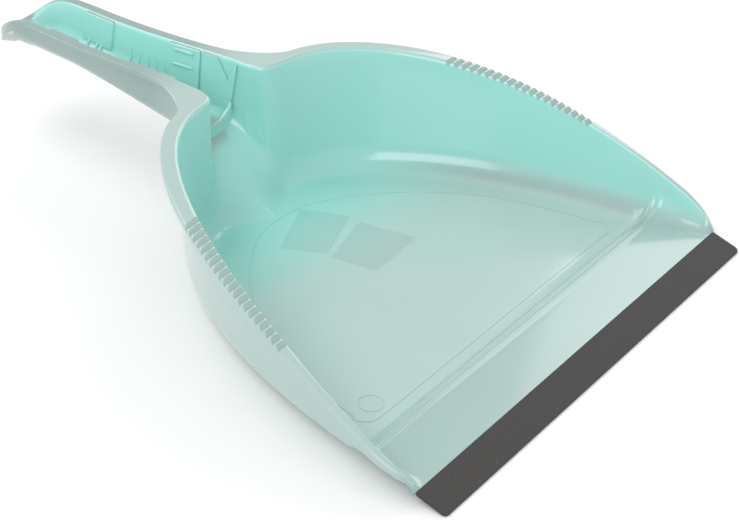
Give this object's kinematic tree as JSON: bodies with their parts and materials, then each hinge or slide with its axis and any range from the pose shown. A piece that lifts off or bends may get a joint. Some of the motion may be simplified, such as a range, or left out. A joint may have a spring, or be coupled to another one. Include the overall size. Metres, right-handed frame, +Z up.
{
  "type": "dust pan",
  "caption": "Moulded dust pan with deep curved side walls, an open channel handle, grip combs across its rim and a soft rubber front lip.",
  "frame": {"origin": "middle of the width and of the whole length, on the ground the pan rests on", "axes": "+X across the mouth, +Y from the lip towards the handle's end, +Z up"},
  "size_m": [0.235, 0.3454, 0.0641],
  "materials": {
    "pan_body": "glossy mint-green polypropylene",
    "edge_lip": "matt dark grey soft rubber"
  },
  "bodies": {
    "pan": {"pan_body": "pan_body"},
    "lip": {"edge_lip": "edge_lip"}
  },
  "joints": [
    {"name": "lip_flex", "type": "hinge", "parent": "pan", "child": "lip", "pos_m": [0, -0.15905, 0.004], "axis": [-1, 0, 0], "range_deg": [-10, 20], "stiffness_Nm_per_rad": 0.6, "deforming": ["edge_lip"]}
  ]
}
